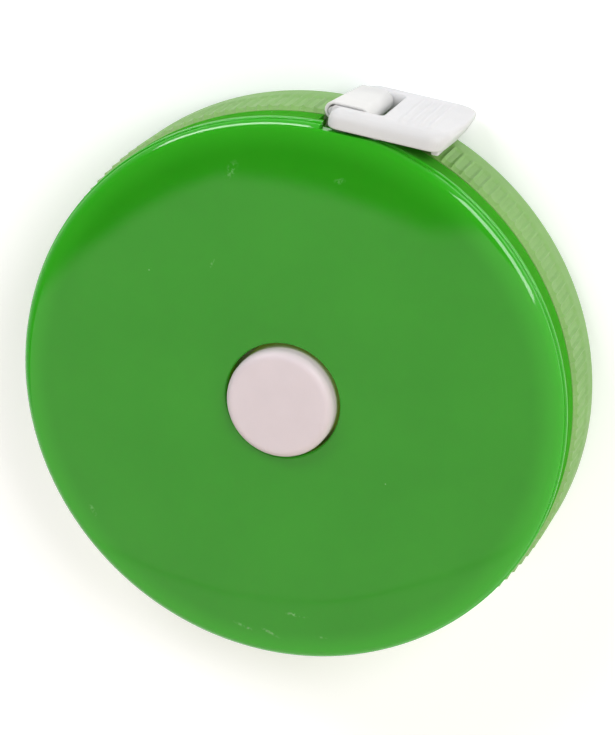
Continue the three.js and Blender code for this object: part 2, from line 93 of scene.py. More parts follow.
def addCloud(tree, place, size, low, high, detail=3):
    # soft noise between two numbers or two colours
    noise = addNode(tree, "ShaderNodeTexNoise", {"Vector": place, "Scale": perMm(size), "Detail": detail})
    # noise hardly leaves this stretch
    first, last = 0.3, 0.7
    if isinstance(low, str):
        ramp = addNode(tree, "ShaderNodeValToRGB", {"Fac": noise.outputs[0]})
        for stop, position, colour in zip(ramp.color_ramp.elements, (first, last), (low, high)):
            stop.position = position
            stop.color = hexColour(colour)
        return ramp.outputs[0]
    limits = {"Value": noise.outputs[0], "From Min": first, "From Max": last, "To Min": low, "To Max": high}
    return addNode(tree, "ShaderNodeMapRange", limits).outputs[0]


def dressSurface(tree, shader, colour, roughness, relief, depth):
    # what varies over the surface, with its relief this many millimetres deep
    raised = addNode(tree, "ShaderNodeBump", {"Height": relief, "Distance": depth * mm})
    tree.links.new(colour, shader.inputs["Base Color"])
    tree.links.new(roughness, shader.inputs["Roughness"])
    tree.links.new(raised.outputs[0], shader.inputs["Normal"])


# Shapes

def roundCorners(corners):
    # corners are (x, y, fillet); gives the points of the closed outline with its arcs
    outline = []
    for i, (x, y, fillet) in enumerate(corners):
        here = Vector((x, y))
        if not fillet:
            outline.append(here)
            continue
        back = (Vector(corners[i - 1][:2]) - here).normalized()
        ahead = (Vector(corners[(i + 1) % len(corners)][:2]) - here).normalized()
        opening = back.angle(ahead)
        centre = here + (back + ahead).normalized() * fillet / math.sin(opening / 2)
        reach = fillet / math.tan(opening / 2)
        start = here + back * reach - centre
        end = here + ahead * reach - centre
        sweep = math.atan2(start.x * end.y - start.y * end.x, start.dot(end))
        count = max(2, math.ceil(abs(sweep) / arcStep))
        for k in range(count + 1):
            turn = math.atan2(start.y, start.x) + sweep * k / count
            outline.append(centre + Vector((math.cos(turn), math.sin(turn))) * fillet)
    return outline


def roundedPlan(left, right, low, high, fillet):
    corners = [(left, low), (right, low), (right, high), (left, high)]
    return roundCorners([(x, y, fillet) for x, y in corners])


def arcPoints(centre, radius, start, end, count):
    turns = [start + (end - start) * i / count for i in range(count + 1)]
    return [Vector((centre[0] + radius * math.cos(t), centre[1] + radius * math.sin(t))) for t in turns]


def finishMesh(mesh, name, sharpAngle=32):
    bmesh.ops.recalc_face_normals(mesh, faces=mesh.faces)
    data = bpy.data.meshes.new(name)
    mesh.to_mesh(data)
    mesh.free()
    piece = bpy.data.objects.new(name, data)
    bpy.context.scene.collection.objects.link(piece)
    smoothMesh(piece, sharpAngle)
    return piece


def smoothMesh(piece, sharpAngle=32):
    piece.data.polygons.foreach_set("use_smooth", [True] * len(piece.data.polygons))
    piece.data.set_sharp_from_angle(angle=math.radians(sharpAngle))


def joinRings(mesh, rings):
    # closes both ends and skins each ring to the next
    mesh.faces.new(rings[0])
    mesh.faces.new(rings[-1])
    for lower, upper in zip(rings, rings[1:]):
        for i in range(len(lower)):
            mesh.faces.new((lower[i - 1], lower[i], upper[i], upper[i - 1]))


def latheBody(name, profile, steps, reshape=None):
    # turns a closed profile of (radius, height) about Z
    mesh = bmesh.new()
    rings = []
    for radius, height in profile:
        if radius < 1e-6:
            rings.append([mesh.verts.new((0, 0, height * mm))] * steps)
            continue
        ring = []
        for i in range(steps):
            turn = fullTurn * i / steps
            r = (reshape(radius, height, turn) if reshape else radius) * mm
            ring.append(mesh.verts.new((r * math.cos(turn), r * math.sin(turn), height * mm)))
        rings.append(ring)
    for k, ring in enumerate(rings):
        below = rings[k - 1]
        for i in range(steps):
            j = (i + 1) % steps
            corners = list(dict.fromkeys((below[i], below[j], ring[j], ring[i])))
            if len(corners) > 2:
                mesh.faces.new(corners)
    return finishMesh(mesh, name)


def prismBody(name, outline, low, high):
    # a closed outline in the XY plane, drawn up along Z
    mesh = bmesh.new()
    rings = [[mesh.verts.new((p[0] * mm, p[1] * mm, z * mm)) for p in outline] for z in (low, high)]
    joinRings(mesh, rings)
    return finishMesh(mesh, name)


def boxBody(name, low, high):
    corners = [(low[0], low[1]), (high[0], low[1]), (high[0], high[1]), (low[0], high[1])]
    return prismBody(name, corners, low[2], high[2])


def roundBody(name, centre, radius, low, high, sides=32):
    return prismBody(name, arcPoints(centre, radius, 0, fullTurn, sides)[1:], low, high)


def carve(piece, tool, operation="DIFFERENCE"):
    cut = piece.modifiers.new("cut", "BOOLEAN")
    cut.object = tool
    cut.operation = operation
    cut.solver = "MANIFOLD"
    graph = bpy.context.evaluated_depsgraph_get()
    graph.update()
    result = bpy.data.meshes.new_from_object(piece.evaluated_get(graph))
    piece.modifiers.clear()
    piece.data = result
    result.name = piece.name
    bpy.data.objects.remove(tool)
    smoothMesh(piece)


def dress(piece, material, node, body=None):
    # the node is the solid that the piece stands for, and a piece given no body stays unattached
    piece.data.materials.clear()
    piece.data.materials.append(material)
    if body:
        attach(piece, body)
    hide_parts(node)


# Finishes

polish = {
    # the face is painted paler over the bead's radii, a stand-in for the brighter light on the rolled edge,
    # and the wall's painted green ends at the wall top's heights
    "face": ("#248e0b", "#28930f"),
    "bead": "#30a119",
    "beadSpan": (21.6, 24),
    "wall": "#358b1f",
    "wallTop": (9.7, 9.78),
    "gloss": 0.5,
    # size in parts of the spacing, and the share of the places that stays clean
    "dust": "#b9dcae",
    "dustSpacing": 2.6,
    "dustSize": (0.016, 0.03),
    "dustStrength": 0.35,
    "dustFree": 0.78,
}


def glossyABS():
    # injection-moulded ABS from a polished mould: deep, slightly see-through colour under a sharp reflection,
    # painted paler where the edge rolls over for the brighter light there and a duller green on the rim's
    # wall for its shading, with hair scuffs and a little dust
    p = polish
    material, tree, shader, place = addMaterial("polished moulded ABS", {
        "IOR": 1.53,
        "Subsurface Weight": 0.45,
        "Subsurface Radius": (0.3, 2.2, 0.2),
        "Subsurface Scale": 1 * mm,
    })
    across = addNode(tree, "ShaderNodeVectorMath", {0: place, 1: (1, 1, 0)}, operation="MULTIPLY")
    radius = addNode(tree, "ShaderNodeVectorMath", {0: across.outputs[0]}, operation="LENGTH")
    # painted light: the face turns a paler green over the rolled edge, a stand-in for the brighter light
    # there
    start, end = p["beadSpan"]
    span = {"Value": radius.outputs["Value"], "From Min": start * mm, "From Max": end * mm}
    paintedEdgeLight = addNode(tree, "ShaderNodeMapRange", span, interpolation_type="SMOOTHSTEP")
    # 6 and 7 are the two colours of a mix
    top = addNode(tree, "ShaderNodeMix", {
        0: paintedEdgeLight.outputs[0],
        6: addCloud(tree, place, 9, *p["face"]),
        7: hexColour(p["bead"]),
    }, data_type="RGBA")
    # painted shade: the wall of the rim is painted a duller green than the dome, a stand-in for how its side
    # is lit and the faint pale reflection on it, and it hardly mirrors the table
    height = addNode(tree, "ShaderNodeSeparateXYZ", {0: place})
    start, end = p["wallTop"]
    span = {"Value": height.outputs["Z"], "From Min": start * mm, "From Max": end * mm}
    dome = addNode(tree, "ShaderNodeMapRange", span)
    clean = addNode(tree, "ShaderNodeMix", {
        0: dome.outputs[0],
        6: hexColour(p["wall"]),
        7: top.outputs[2],
    }, data_type="RGBA")
    gloss = addNode(tree, "ShaderNodeMath", {0: dome.outputs[0], 1: p["gloss"]}, operation="MULTIPLY")
    tree.links.new(gloss.outputs[0], shader.inputs["Specular IOR Level"])
    # a speck of dust in a few cells of the pattern
    cells = addNode(tree, "ShaderNodeTexVoronoi", {"Vector": place, "Scale": perMm(p["dustSpacing"])})
    start, end = p["dustSize"]
    fade = {"Value": cells.outputs["Distance"], "From Min": start, "From Max": end}
    speck = addNode(tree, "ShaderNodeMapRange", {**fade, "To Min": p["dustStrength"], "To Max": 0})
    drawn = addNode(tree, "ShaderNodeSeparateColor", {"Color": cells.outputs["Color"]})
    few = addNode(tree, "ShaderNodeMath", {0: drawn.outputs[0], 1: p["dustFree"]}, operation="GREATER_THAN")
    dust = addNode(tree, "ShaderNodeMath", {0: speck.outputs[0], 1: few.outputs[0]}, operation="MULTIPLY")
    worn = addScuffs(tree, place)
    marks = addNode(tree, "ShaderNodeMath", {0: dust.outputs[0], 1: worn}, operation="MAXIMUM")
    used = addNode(tree, "ShaderNodeMix", {
        0: marks.outputs[0],
        6: clean.outputs[2],
        7: hexColour(p["dust"]),
    }, data_type="RGBA")
    dressSurface(
        tree, shader,
        colour=used.outputs[2],
        roughness=addCloud(tree, place, 6, 0.05, 0.085),
        relief=addCloud(tree, place, 7, 0, 1, detail=1),
        depth=0.006,
    )
    return material


scuffs = {
    # place on the face, length and width, turn in degrees, strength
    "places": (
        ((4.2, -19.7), (2.6, 0.5), 4, 0.4),
        ((-0.3, -22.3), (3.2, 0.4), -12, 0.32),
        ((2.1, -22.2), (2.4, 0.45), -16, 0.36),
        ((6.7, -21.3), (1.6, 0.3), 8, 0.22),
        ((-15.9, -15.1), (2.2, 0.5), -52, 0.28),
        ((-7.7, 19.0), (2.4, 1.2), 70, 0.24),
        ((1.8, 20.3), (1.3, 0.7), 20, 0.2),
        ((-8.0, 10.7), (1.6, 0.3), 75, 0.2),
    ),
    "hair": 0.3,
    "hairSpan": (0.47, 0.62),
}


def addScuffs(tree, place):
    # short rubbed marks, broken up into hairs; gives how much of the colour each one hides
    hair = {"Vector": place, "Scale": perMm(scuffs["hair"]), "Detail": 4}
    grain = addNode(tree, "ShaderNodeTexNoise", hair)
    start, end = scuffs["hairSpan"]
    span = {"Value": grain.outputs[0], "From Min": start, "From Max": end}
    hairs = addNode(tree, "ShaderNodeMapRange", span)
    total = 0.0
    for (x, y), (length, width), turn, strength in scuffs["places"]:
        moved = addNode(tree, "ShaderNodeMapping", {
            "Vector": place,
            "Location": (x * mm, y * mm, 0),
            "Rotation": (0, 0, math.radians(turn)),
            "Scale": (length / 2 * mm, width / 2 * mm, 1),
        }, vector_type="TEXTURE")
        flat = {0: moved.outputs[0], 1: (1, 1, 0)}
        across = addNode(tree, "ShaderNodeVectorMath", flat, operation="MULTIPLY")
        away = addNode(tree, "ShaderNodeVectorMath", {0: across.outputs[0]}, operation="LENGTH")
        fade = {"Value": away.outputs["Value"], "To Min": strength, "To Max": 0}
        spot = addNode(tree, "ShaderNodeMapRange", fade, interpolation_type="SMOOTHSTEP")
        rubbed = {0: spot.outputs[0], 1: hairs.outputs[0]}
        mark = addNode(tree, "ShaderNodeMath", rubbed, operation="MULTIPLY")
        both = {0: mark.outputs[0], 1: total}
        total = addNode(tree, "ShaderNodeMath", both, operation="MAXIMUM").outputs[0]
    return total


def satinABS():
    # the same ABS from a spark-eroded mould: a fine grain that spreads the light into a pale sheen, partly
    # painted in as a paler base colour than the polished lid's
    material, tree, shader, place = addMaterial("spark-eroded moulded ABS", {
        "IOR": 1.53,
        "Specular IOR Level": 0.6,
        "Subsurface Weight": 0.06,
        "Subsurface Radius": (0.4, 1.6, 0.3),
        "Subsurface Scale": 0.8 * mm,
    })
    # real grain is 0.05 mm, drawn at 0.12 so that it shows
    dressSurface(
        tree, shader,
        # painted sheen: these greens are paler than the polished lid's
        colour=addCloud(tree, place, 5, "#6c9c49", "#73a24f"),
        roughness=addCloud(tree, place, 1.5, 0.42, 0.52),
        relief=addCloud(tree, place, 0.12, 0, 1),
        depth=0.006,
    )
    return material


def mattPlastic(name, light, dark):
    # moulded with a fine matt texture: soft highlights, hardly any grain
    material, tree, shader, place = addMaterial(name, {
        "IOR": 1.53,
        "Subsurface Weight": 0.12,
        "Subsurface Radius": (1, 0.8, 0.7),
        "Subsurface Scale": 0.7 * mm,
    })
    # real grain is 0.05 mm, drawn at 0.12 so that it shows
    dressSurface(
        tree, shader,
        colour=addCloud(tree, place, 3, dark, light),
        roughness=addCloud(tree, place, 1.2, 0.42, 0.5),
        relief=addCloud(tree, place, 0.12, 0, 1),
        depth=0.003,
    )
    return material


glow = {
    "colour": "#b9dc30",
    "strength": 0.1,
    "span": (11.3, 11.75),
}


def addGlow(material):
    # painted light: the wall of the button under the face glows green, a stand-in for the light that comes
    # through the lid
    tree = material.node_tree
    shader = next(node for node in tree.nodes if node.type == "BSDF_PRINCIPLED")
    place = addNode(tree, "ShaderNodeTexCoord").outputs["Object"]
    height = addNode(tree, "ShaderNodeSeparateXYZ", {0: place})
    start, end = glow["span"]
    span = {"Value": height.outputs["Z"], "From Min": start * mm, "From Max": end * mm}
    lit = addNode(tree, "ShaderNodeMapRange", {**span, "To Min": glow["strength"], "To Max": 0})
    tree.links.new(lit.outputs[0], shader.inputs["Emission Strength"])
    shader.inputs["Emission Color"].default_value = hexColour(glow["colour"])


def coatedTape():
    # glass cloth coated with white PVC: a flat soft white with the weave just raised
    material, tree, shader, place = addMaterial("PVC-coated glass cloth", {"IOR": 1.52})
    # real threads are 0.25 mm apart, drawn at 1 mm so that they show; at scale 1 this pattern
    # repeats every twentieth of a full turn
    weave = addNode(tree, "ShaderNodeTexWave", {
        "Vector": place,
        "Scale": perMm(0.987) * fullTurn / 20,
        "Distortion": 0.4,
    }, bands_direction="Z")
    dressSurface(
        tree, shader,
        colour=addCloud(tree, place, 2.5, "#d0d0d0", "#d4d4d3"),
        roughness=addCloud(tree, place, 1, 0.42, 0.52),
        relief=weave.outputs["Fac"],
        depth=0.004,
    )
    return material


def springSteel():
    # blued spring strip and wire: drawn metal, a little mottled by the heat
    material, tree, shader, place = addMaterial("drawn spring steel", {"Metallic": 1})
    dressSurface(
        tree, shader,
        colour=addCloud(tree, place, 1.2, "#8f9398", "#b4b7ba"),
        roughness=addCloud(tree, place, 0.4, 0.24, 0.38),
        relief=addCloud(tree, place, 0.08, 0, 1),
        depth=0.002,
    )
    return material


def nitrileRubber():
    # moulded nitrile: near black, dull, with a little bloom
    material, tree, shader, place = addMaterial("moulded nitrile rubber", {"IOR": 1.52})
    dressSurface(
        tree, shader,
        colour=addCloud(tree, place, 0.8, "#1c1c1c", "#2b2a29"),
        roughness=addCloud(tree, place, 0.5, 0.7, 0.88),
        relief=addCloud(tree, place, 0.15, 0, 1),
        depth=0.01,
    )
    return material


print("materials")
lidFinish = glossyABS()
bandFinish = satinABS()
buttonFinish = mattPlastic("fine-matt moulded ABS", "#d5c9cf", "#d1c5cb")
addGlow(buttonFinish)
tabFinish = mattPlastic("fine-matt moulded acetal", "#cdcdcf", "#c9c9cb")
innerFinish = mattPlastic("plain moulded acetal", "#e6e5e0", "#dedcd6")
tapeFinish = coatedTape()
steelFinish = springSteel()
rubberFinish = nitrileRubber()


# Back shell

shell = {
    "radius": 25,
    "flatRadius": 17,
    "shoulder": (24.2, 0.95),
    "foot": 1.5,
    "bandTop": 7.0,
    "rimRadius": 24.6,
    "rimHeight": 7.6,
    "wallInside": 23.2,
    "tongueInside": 24.05,
    "tongueFoot": 6.7,
    "floor": 1.2,
    "steps": 1248,
}
knurls = {
    "count": 156,
    "depth": 0.16,
    "low": 3.2,
    "runOut": 0.8,
    "high": 7.58,
    "rimOut": 0.2,
    "ridgeShare": 0.4,
    "steps": 5,
}
post = {
    # a round post with a square key on it and a slot for the spring's tail in its side
    "radius": 3.2,
    "top": 6.1,
    "keyHalf": 1.485,
    "keyFoot": 5,
    "keyTop": 8.6,
    "slotHalf": 0.45,
    "slotFoot": 2.2,
    "slotInside": 2.2,
    "slotOutside": 3.6,
}
bosses = {
    # the pins of the lid press into the bosses of the back
    "count": 3,
    "circle": 20.98,
    "firstTurn": 30,
    "radius": 1.5,
    "foot": 1.05,
    "top": 7.6,
    "bore": 0.85,
    "boreFoot": 1.2,
    "shoulder": 7.9,
    "pin": 0.7,
    "pinFoot": 2,
    "pinTop": 10.2,
}
mouth = {
    "left": -1.35,
    "lidLeft": -0.85,
    "right": 1,
    "lip": 0.6,
    "inside": 21.2,
    "seat": 24.1,
    "low": 1.75,
    "high": 9.35,
    # how far the tools reach out, down and up, clear of the case
    "outside": 27,
    "below": -2,
    "above": 14,
}


def knurlRadius(radius, height, turn):
    # fine ribs along the axis: round ridges between flat valleys, running out at both ends
    start = min(max((height - knurls["low"]) / knurls["runOut"], 0), 1)
    start = min(start, max((knurls["high"] - height) / knurls["rimOut"], 0))
    place = (turn / fullTurn * knurls["count"]) % 1
    away = abs(place - 0.5) * 2
    ridge = max(0, 1 - away / knurls["ridgeShare"])
    ridge = math.sin(ridge * math.pi / 2)
    sunk = knurls["depth"] * start * start * (3 - 2 * start) * (1 - ridge)
    # the walls inside have none
    return radius - sunk if radius > shell["tongueInside"] + 0.1 else radius


def bossPlaces():
    b = bosses
    turns = [math.radians(b["firstTurn"] + 360 / b["count"] * i) for i in range(b["count"])]
    return [(b["circle"] * math.cos(turn), b["circle"] * math.sin(turn)) for turn in turns]


def cutMouth(piece):
    # the seat is narrower above the tape, where only the tab's corner lies
    m = mouth
    out = m["outside"]
    carve(piece, boxBody("seatTool", (m["left"], m["seat"], m["below"]), (out, out, m["high"])))
    carve(piece, boxBody("seatTool", (m["lidLeft"], m["seat"], m["high"] - 1), (out, out, m["above"])))
    lipEnd = m["right"] + m["lip"] + 0.1
    corners = [
        (m["left"], m["inside"], 0),
        (m["right"], m["inside"], 0),
        (m["right"], m["seat"], m["lip"]),
        (lipEnd, m["seat"], 0),
        (lipEnd, out, 0),
        (m["left"], out, 0),
    ]
    carve(piece, prismBody("mouthTool", roundCorners(corners), m["low"], m["high"]))


def makeBackShell():
    s = shell
    k = knurls
    p = post
    # the wall is cut finer where the knurls run out
    shares = [i / k["steps"] for i in range(k["steps"] + 1)]
    wall = [(s["radius"], k["low"] + k["runOut"] * share, 0) for share in shares]
    slope = (s["rimRadius"] - s["radius"]) / (s["rimHeight"] - s["bandTop"])
    heights = [k["high"] - k["rimOut"] * (1 - share) for share in shares]
    chamfer = [(s["radius"] + slope * (height - s["bandTop"]), height, 0) for height in heights]
    profile = roundCorners([
        (0, 0, 0),
        (s["flatRadius"], 0, 3),
        (*s["shoulder"], 0.6),
        (s["radius"], s["foot"], 0.4),
        *wall,
        (s["radius"], s["bandTop"], 0.12),
        *chamfer,
        (s["rimRadius"], s["rimHeight"], 0),
        (s["tongueInside"], s["rimHeight"], 0),
        (s["tongueInside"], s["tongueFoot"], 0),
        (s["wallInside"], s["tongueFoot"], 0),
        (s["wallInside"], s["floor"], 0.9),
        (p["radius"], s["floor"], 0.3),
        (p["radius"], p["top"], 0.1),
        (0, p["top"], 0),
    ])
    piece = latheBody("caseBack", profile, s["steps"], knurlRadius)
    half = p["keyHalf"]
    carve(piece, boxBody("keyTool", (-half, -half, p["keyFoot"]), (half, half, p["keyTop"])), "UNION")
    slotLow = (p["slotInside"], -p["slotHalf"], p["slotFoot"])
    slotHigh = (p["slotOutside"], p["slotHalf"], p["top"] + 1)
    carve(piece, boxBody("slotTool", slotLow, slotHigh))
    b = bosses
    for centre in bossPlaces():
        carve(piece, roundBody("bossTool", centre, b["radius"], b["foot"], b["top"]), "UNION")
        carve(piece, roundBody("socketTool", centre, b["bore"], b["boreFoot"], b["top"] + 0.4, 24))
    cutMouth(piece)
    dress(piece, bandFinish, "back_shell", "case")


print("back shell")
makeBackShell()


# Front shell

lid = {
    "radius": 24.6,
    "foot": 7.75,
    "tongueFoot": 6.85,
    "tongueRadius": 23.9,
    "wallInside": 23.2,
    # its height at the bead and at the wall
    "ledge": (10.0, 9.98),
    "corner": 0.16,
    "domeEdge": 24.42,
    "beadRadius": 1.2,
    "beadSweep": (8.2, 52),
    "top": 11.7,
    "flatRadius": 12,
    "rise": 1.0,
    "hole": 5.14,
    "holeEdge": 0.18,
    "collar": 6.0,
    "collarFoot": 9.25,
    "inside": 10.6,
    "insideRise": 1.36,
    "steps": 720,
    "beadSteps": 20,
    "domeSteps": 36,
    "insideSteps": 12,
}


def domeHeight(radius, top, rise, edge):
    # flat in the middle, then falling faster and faster to its edge
    share = max(radius - lid["flatRadius"], 0) / (edge - lid["flatRadius"])
    return top - rise * share * share


def makeFrontShell():
    d = lid
    # the dome rolls over to its edge in a round bead, which takes the thick highlight
    low, high = (math.radians(90 - a) for a in d["beadSweep"])
    width = d["beadRadius"] * (math.cos(high) - math.cos(low))
    beadStart = d["domeEdge"] - width
    startHeight = domeHeight(beadStart, d["top"], d["rise"], d["domeEdge"])
    centre = (beadStart - d["beadRadius"] * math.cos(low), startHeight - d["beadRadius"] * math.sin(low))
    bead = [(p.x, p.y, 0) for p in arcPoints(centre, d["beadRadius"], high, low, d["beadSteps"])]
    dome = []
    for i in range(1, d["domeSteps"] + 1):
        radius = beadStart + (d["flatRadius"] - beadStart) * i / d["domeSteps"]
        dome.append((radius, domeHeight(radius, d["top"], d["rise"], d["domeEdge"]), 0))
    inside = []
    for i in range(d["insideSteps"] + 1):
        radius = d["flatRadius"] + (d["wallInside"] - d["flatRadius"]) * i / d["insideSteps"]
        inside.append((radius, domeHeight(radius, d["inside"], d["insideRise"], d["wallInside"]), 0))
    profile = roundCorners([
        (d["wallInside"], d["tongueFoot"], 0.1),
        (d["tongueRadius"], d["tongueFoot"], 0.1),
        (d["tongueRadius"], d["foot"], 0),
        (d["radius"], d["foot"], 0.08),
        (d["radius"], d["ledge"][1], d["corner"]),
        (d["domeEdge"] + 0.02, d["ledge"][0], 0),
        *bead,
        *dome,
        (d["hole"], d["top"], d["holeEdge"]),
        (d["hole"], d["collarFoot"], 0.1),
        (d["collar"], d["collarFoot"], 0.1),
        (d["collar"], d["inside"], 0.2),
        *inside,
    ])
    piece = latheBody("caseLid", profile, d["steps"])
    b = bosses
    for centre in bossPlaces():
        carve(piece, roundBody("shoulderTool", centre, b["radius"], b["shoulder"], b["pinTop"]), "UNION")
        carve(piece, roundBody("pinTool", centre, b["pin"], b["pinFoot"], b["pinTop"]), "UNION")
    cutMouth(piece)
    dress(piece, lidFinish, "front_shell", "case")


print("front shell")
makeFrontShell()


# Button

button = {
    # it sits a little to one side in its hole
    "centre": (-0.04, -0.15),
    "radius": 4.84,
    "top": 12.8,
    "crown": 0.1,
    "edge": 0.8,
    "foot": 8.7,
    "wall": 1.1,
    "roof": 0.8,
    "faceSteps": 10,
    "steps": 192,
}


def makeButton():
    b = button
    # the crown, from where the round edge ends to the middle
    count = b["faceSteps"]
    face = [(b["radius"] * i / count, b["top"] - b["crown"] * (i / count) ** 2, 0)
            for i in range(count - 2, -1, -1)]
    profile = roundCorners([
        (0, b["top"] - b["roof"], 0),
        (b["radius"] - b["wall"], b["top"] - b["roof"], 0.2),
        (b["radius"] - b["wall"], b["foot"], 0.1),
        (b["radius"], b["foot"], 0.1),
        (b["radius"], b["top"] - b["crown"], b["edge"]),
        *face,
    ])
    piece = latheBody("buttonCap", profile, b["steps"])
    piece.data.transform(Matrix.Translation(Vector((*b["centre"], 0)) * mm))
    dress(piece, buttonFinish, "button_cap", "button")


print("button")
makeButton()


# Pull tab, with its width along Z

tab = {
    "left": -0.5,
    "end": 10.3,
    "endBulge": 0.25,
    "endRound": 20,
    "low": 0.25,
    "high": 10.85,
    "windowLow": 1.9,
    "windowHigh": 9.13,
    "windowEnd": 3.9,
    "foot": 24.4,
    "top": 26.1,
    "leftCorner": 1.3,
    "endCorner": 1.7,
    "windowCorner": 0.3,
    "prongCorner": 0.35,
    "edge": 1.1,
    "footEdge": 0.2,
    # shares of the full edge
    "windowShare": 0.26,
    "backShare": 0.3,
    "tipShare": 0.5,
    "taperStart": 8.2,
    "taper": 0.12,
    "tipLean": 0.9,
    "skew": 0.09,
    "skewSpan": (0.2, 2.2),
    "ribs": (5.75, 6.58, 7.4, 8.23),
    "ribWidth": 0.74,
    "ribHeight": 0.14,
    "ribMargin": 0.8,
    "ribFade": 0.6,
    # where the plan is cut finer for the ribs: first place, step, count
    "gridX": (4.3, 0.1, 60),
    "gridZ": (0.6, 0.45, 23),
    # left, right, low, high
    "bar": (-0.8, 2.4, 25.11, 25.85),
    # left, right, foot, low, high
    "nub": (8.7, 9.4, 23.9, 1.15, 9.85),
    "nubCorner": 0.2,
}


def insetOutline(outline, inset, share):
    # moves each point of a counter-clockwise outline inwards, square to its neighbours
    moved = []
    for i, here in enumerate(outline):
        a = (here - outline[i - 1]).normalized()
        b = (outline[(i + 1) % len(outline)] - here).normalized()
        normal = Vector((-a.y - b.y, a.x + b.x)).normalized()
        moved.append(here + normal * inset * share(here) / max(normal.dot(Vector((-b.y, b.x))), 0.3))
    return moved


def cushionBody(outline, layers, share=lambda point: 1):
    # stacks inset copies of an outline; layers are (inset, height), the plan's y becomes Z
    mesh = bmesh.new()
    rings = []
    for inset, height in layers:
        points = insetOutline(outline, inset, share) if inset else outline
        rings.append([mesh.verts.new((p.x * mm, height * mm, p.y * mm)) for p in points])
    joinRings(mesh, rings)
    return mesh


def edgeLayers(foot, top, footEdge, topEdge, count):
    # a quarter round at the foot and another at the top
    quarter = [math.pi / 2 * i / count for i in range(count + 1)]
    layers = [(footEdge * (1 - math.sin(a)), foot + footEdge * (1 - math.cos(a))) for a in quarter]
    layers += [(topEdge * (1 - math.cos(a)), top - topEdge * (1 - math.sin(a))) for a in quarter]
    return layers


def tabEdgeShare(point):
    # full and round along the front, crisp along the back, the window's sides only just rounded
    t = tab
    margin = 0.36
    besideWindow = t["windowLow"] - margin < point.y < t["windowHigh"] + margin
    if besideWindow and point.x < t["windowEnd"] + 0.1:
        return t["windowShare"]
    forward = (point.y - t["low"]) / (t["high"] - t["low"])
    share = t["backShare"] + (1 - t["backShare"]) * forward * forward * (3 - 2 * forward)
    return share * (1 - t["tipShare"] * tipPart(point.x))


def tipPart(x):
    part = min(max((x - tab["taperStart"]) / (tab["end"] - tab["taperStart"]), 0), 1)
    return part * part


def skewLeft(vertices):
    # the left end of the tab, with its bar and the loop of tape, sits a little askew
    first, last = tab["skewSpan"]
    for vertex in vertices:
        part = min(max((last - vertex.co.x / mm) / (last - first), 0), 1)
        vertex.co.x += tab["skew"] * (tab["high"] * mm - vertex.co.z) * part


def tabRelief(x, z):
    # soft grip ribs that fade before the edges, and the thinner far end
    t = tab
    inside = min(z - t["low"], t["high"] - z) - t["ribMargin"]
    fade = min(max(inside / t["ribFade"], 0), 1)
    lift = 0
    for place in t["ribs"]:
        away = abs(x - place) / t["ribWidth"] * 2
        if away < 1:
            lift += t["ribHeight"] * math.cos(away * math.pi / 2) ** 2 * fade
    return lift - t["taper"] * tipPart(x)


def cutPlan(mesh, grid, direction):
    # cuts the mesh across at even steps, so that it can bend there
    first, step, count = grid
    for i in range(count):
        everything = mesh.verts[:] + mesh.edges[:] + mesh.faces[:]
        place = direction * ((first + step * i) * mm)
        bmesh.ops.bisect_plane(mesh, geom=everything, plane_co=place, plane_no=direction, dist=1e-7)


def makeTab():
    t = tab
    outline = roundCorners([
        (t["left"], t["low"], t["leftCorner"]),
        (t["end"] - t["endBulge"], t["low"], t["endCorner"]),
        (t["end"], (t["low"] + t["high"]) / 2, t["endRound"]),
        (t["end"] - t["endBulge"], t["high"], t["endCorner"]),
        (t["left"], t["high"], t["leftCorner"]),
        (t["left"], t["windowHigh"], t["prongCorner"]),
        (t["windowEnd"], t["windowHigh"], t["windowCorner"]),
        (t["windowEnd"], t["windowLow"], t["windowCorner"]),
        (t["left"], t["windowLow"], t["prongCorner"]),
    ])
    layers = edgeLayers(t["foot"], t["top"], t["footEdge"], t["edge"], 8)
    mesh = cushionBody(outline, layers, tabEdgeShare)
    cutPlan(mesh, t["gridX"], Vector((1, 0, 0)))
    cutPlan(mesh, t["gridZ"], Vector((0, 0, 1)))
    for vertex in mesh.verts:
        height = vertex.co.y / mm
        share = min(max((height - t["foot"] - 0.5) / (t["top"] - t["foot"] - 0.5), 0), 1)
        vertex.co.y += share * tabRelief(vertex.co.x / mm, vertex.co.z / mm) * mm
        # the underside of the tip is cut back
        raised = (height - t["foot"]) / (t["top"] - t["foot"]) - 0.5
        vertex.co.x += t["tipLean"] * raised * tipPart(vertex.co.x / mm) * mm
    skewLeft(mesh.verts)
    piece = finishMesh(mesh, "pullTab")

    left, right, low, high = t["bar"]
    bar = roundedPlan(left, right, low, high, (high - low) / 2 - 0.01)
    tool = prismBody("barTool", bar, t["windowLow"] - 0.1, t["windowHigh"] + 0.1)
    skewLeft(tool.data.vertices)
    carve(piece, tool, "UNION")

    left, right, foot, low, high = t["nub"]
    plan = roundedPlan(left, right, low, high, t["nubCorner"])
    nub = finishMesh(cushionBody(plan, edgeLayers(foot, t["foot"] + 0.4, 0.15, 0.05, 3)), "nubTool")
    carve(piece, nub, "UNION")
    dress(piece, tabFinish, "pull_tab", "tab")


print("pull tab")
makeTab()


# Tape

